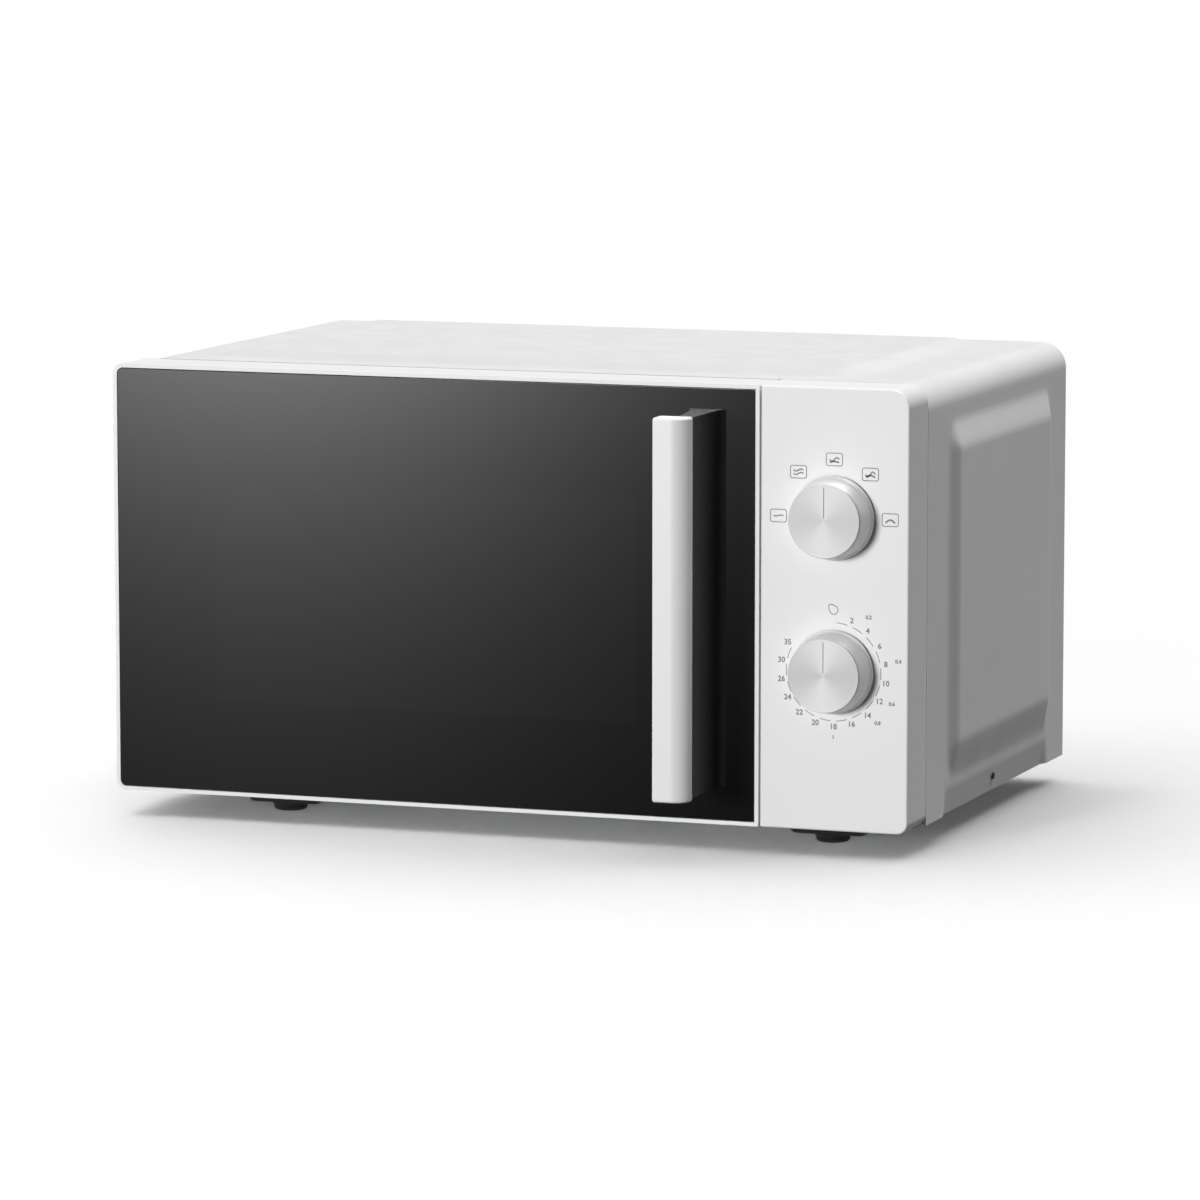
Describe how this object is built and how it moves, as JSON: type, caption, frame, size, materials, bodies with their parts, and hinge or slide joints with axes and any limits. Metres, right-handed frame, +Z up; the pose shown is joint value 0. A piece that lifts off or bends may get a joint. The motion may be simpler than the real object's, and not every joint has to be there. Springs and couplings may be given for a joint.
{
  "type": "microwave oven",
  "caption": "Compact countertop microwave oven: white cabinet with pressed panels, dark glass side-hinged door with upright bar handle, turntable, and two round dials.",
  "frame": {"origin": "middle of the overall footprint (handle reach included), on the surface the feet stand on", "axes": "+X to the right as seen from the front, +Y from the door towards the rear, +Z up"},
  "size_m": [0.457, 0.3522, 0.2505],
  "materials": {
    "white_paint": "satin powder coat with a fine texture",
    "white_plastic": "semi-gloss moulding",
    "handle_white": "semi-gloss moulding",
    "black_plastic": "fine matt grain",
    "dark_glass": "polished, dark printed back",
    "inner_film": "clear glossy film",
    "dial_silver": "turned, fine circular grain",
    "steel": "bright rolled sheet",
    "zinc_steel": "zinc coated sheet, faint spangle",
    "cavity_paint": "smooth baked enamel",
    "base_paint": "satin black coat",
    "rubber": "matt",
    "mica": "flaky mica sheet",
    "copper": "drawn copper",
    "enamelled_wire": "lacquered wire",
    "laminations": "varnished steel laminations",
    "aluminium_can": "drawn can",
    "circuit_board": "solder resist",
    "cream_plastic": "glass filled moulding",
    "grey_plastic": "moulded",
    "clear_glass": "pressed clear glass"
  },
  "bodies": {
    "cabinet": {"outer_cover": "white_paint", "rear_plate": "zinc_steel", "cord_gland": "black_plastic", "base_plate": "base_paint", "foot_front_left": "rubber", "foot_front_right": "rubber", "foot_rear_left": "rubber", "foot_rear_right": "rubber", "oven_cavity": "cavity_paint", "cavity_front_plate": "cavity_paint", "waveguide": "zinc_steel", "waveguide_cover": "mica", "turntable_motor": "zinc_steel", "hinge_lower": "steel", "hinge_upper": "steel", "control_panel": "white_plastic", "timer_mechanism": "zinc_steel", "power_selector": "cream_plastic", "interlock_bracket": "cream_plastic", "primary_switch": "black_plastic", "secondary_switch": "black_plastic", "monitor_switch": "black_plastic", "magnetron_body": "zinc_steel", "magnetron_antenna": "copper", "transformer_core": "laminations", "primary_winding": "enamelled_wire", "secondary_winding": "copper", "hv_capacitor": "aluminium_can", "capacitor_clamp": "zinc_steel", "hv_diode": "black_plastic", "noise_filter_board": "circuit_board", "fan_bracket": "grey_plastic", "fan_motor": "laminations", "lamp_bulb": "clear_glass", "lamp_holder": "cream_plastic", "thermal_cutout": "black_plastic"},
    "door": {"door_frame": "white_plastic", "door_glass": "dark_glass", "door_screen_plate": "steel", "door_choke_cover": "black_plastic", "door_inner_window": "inner_film", "hinge_pin_lower": "steel", "hinge_pin_upper": "steel", "handle_support": "black_plastic", "handle_bar": "handle_white", "latch_spring": "steel"},
    "latch": {"latch_hooks": "cream_plastic"},
    "power_dial": {"power_knob": "dial_silver", "power_knob_cap": "dial_silver", "power_shaft": "cream_plastic"},
    "timer_dial": {"timer_knob": "dial_silver", "timer_knob_cap": "dial_silver", "timer_shaft": "cream_plastic"},
    "turntable_drive": {"turntable_coupler": "cream_plastic"},
    "turntable_plate": {"glass_turntable": "clear_glass"},
    "roller_support": {"roller_ring": "grey_plastic"},
    "roller_wheel_1": {"roller_1": "grey_plastic"},
    "roller_wheel_2": {"roller_2": "grey_plastic"},
    "roller_wheel_3": {"roller_3": "grey_plastic"},
    "fan_rotor": {"fan_impeller": "grey_plastic"}
  },
  "joints": [
    {"name": "door_hinge", "type": "hinge", "parent": "cabinet", "child": "door", "pos_m": [-0.215, -0.09665, 0.1305], "axis": [0, 0, -1], "range_deg": [0, 92]},
    {"name": "latch_lift", "type": "slide", "parent": "door", "child": "latch", "axis": [0, 0, 1], "range_m": [0, 0.004], "stiffness_N_per_m": 300, "springref_m": -0.006, "deforming": ["latch_spring"]},
    {"name": "power_turn", "type": "hinge", "parent": "cabinet", "child": "power_dial", "pos_m": [0.1843, -0.12815, 0.179], "axis": [0, 1, 0], "range_deg": [-90, 90]},
    {"name": "timer_turn", "type": "hinge", "parent": "cabinet", "child": "timer_dial", "pos_m": [0.1843, -0.12815, 0.0982], "axis": [0, 1, 0], "range_deg": [0, 300]},
    {"name": "turntable_spin", "type": "hinge", "parent": "cabinet", "child": "turntable_drive", "pos_m": [-0.049, 0.0423, 0.044], "axis": [0, 0, 1], "continuous": true},
    {"name": "plate_lift", "type": "slide", "parent": "turntable_drive", "child": "turntable_plate", "axis": [0, 0, 1], "range_m": [0, 0.04]},
    {"name": "roller_ring_spin", "type": "hinge", "parent": "cabinet", "child": "roller_support", "pos_m": [-0.049, 0.0423, 0.0423], "axis": [0, 0, 1], "continuous": true},
    {"name": "roller_1_spin", "type": "hinge", "parent": "roller_support", "child": "roller_wheel_1", "pos_m": [-0.049, 0.13885, 0.0423], "axis": [0, 1, 0], "continuous": true},
    {"name": "roller_2_spin", "type": "hinge", "parent": "roller_support", "child": "roller_wheel_2", "pos_m": [-0.13262, -0.00598, 0.0423], "axis": [-0.866, -0.5, 0], "continuous": true},
    {"name": "roller_3_spin", "type": "hinge", "parent": "roller_support", "child": "roller_wheel_3", "pos_m": [0.03461, -0.00598, 0.0423], "axis": [0.866, -0.5, 0], "continuous": true},
    {"name": "fan_spin", "type": "hinge", "parent": "cabinet", "child": "fan_rotor", "pos_m": [0.16675, 0.13685, 0.169], "axis": [0, 1, 0], "continuous": true}
  ],
  "couplings": [
    {"joint": "roller_ring_spin", "follows": "turntable_spin", "ratio": 0.5},
    {"joint": "roller_1_spin", "follows": "turntable_spin", "ratio": -6.0344},
    {"joint": "roller_2_spin", "follows": "turntable_spin", "ratio": -6.0344},
    {"joint": "roller_3_spin", "follows": "turntable_spin", "ratio": -6.0344}
  ]
}
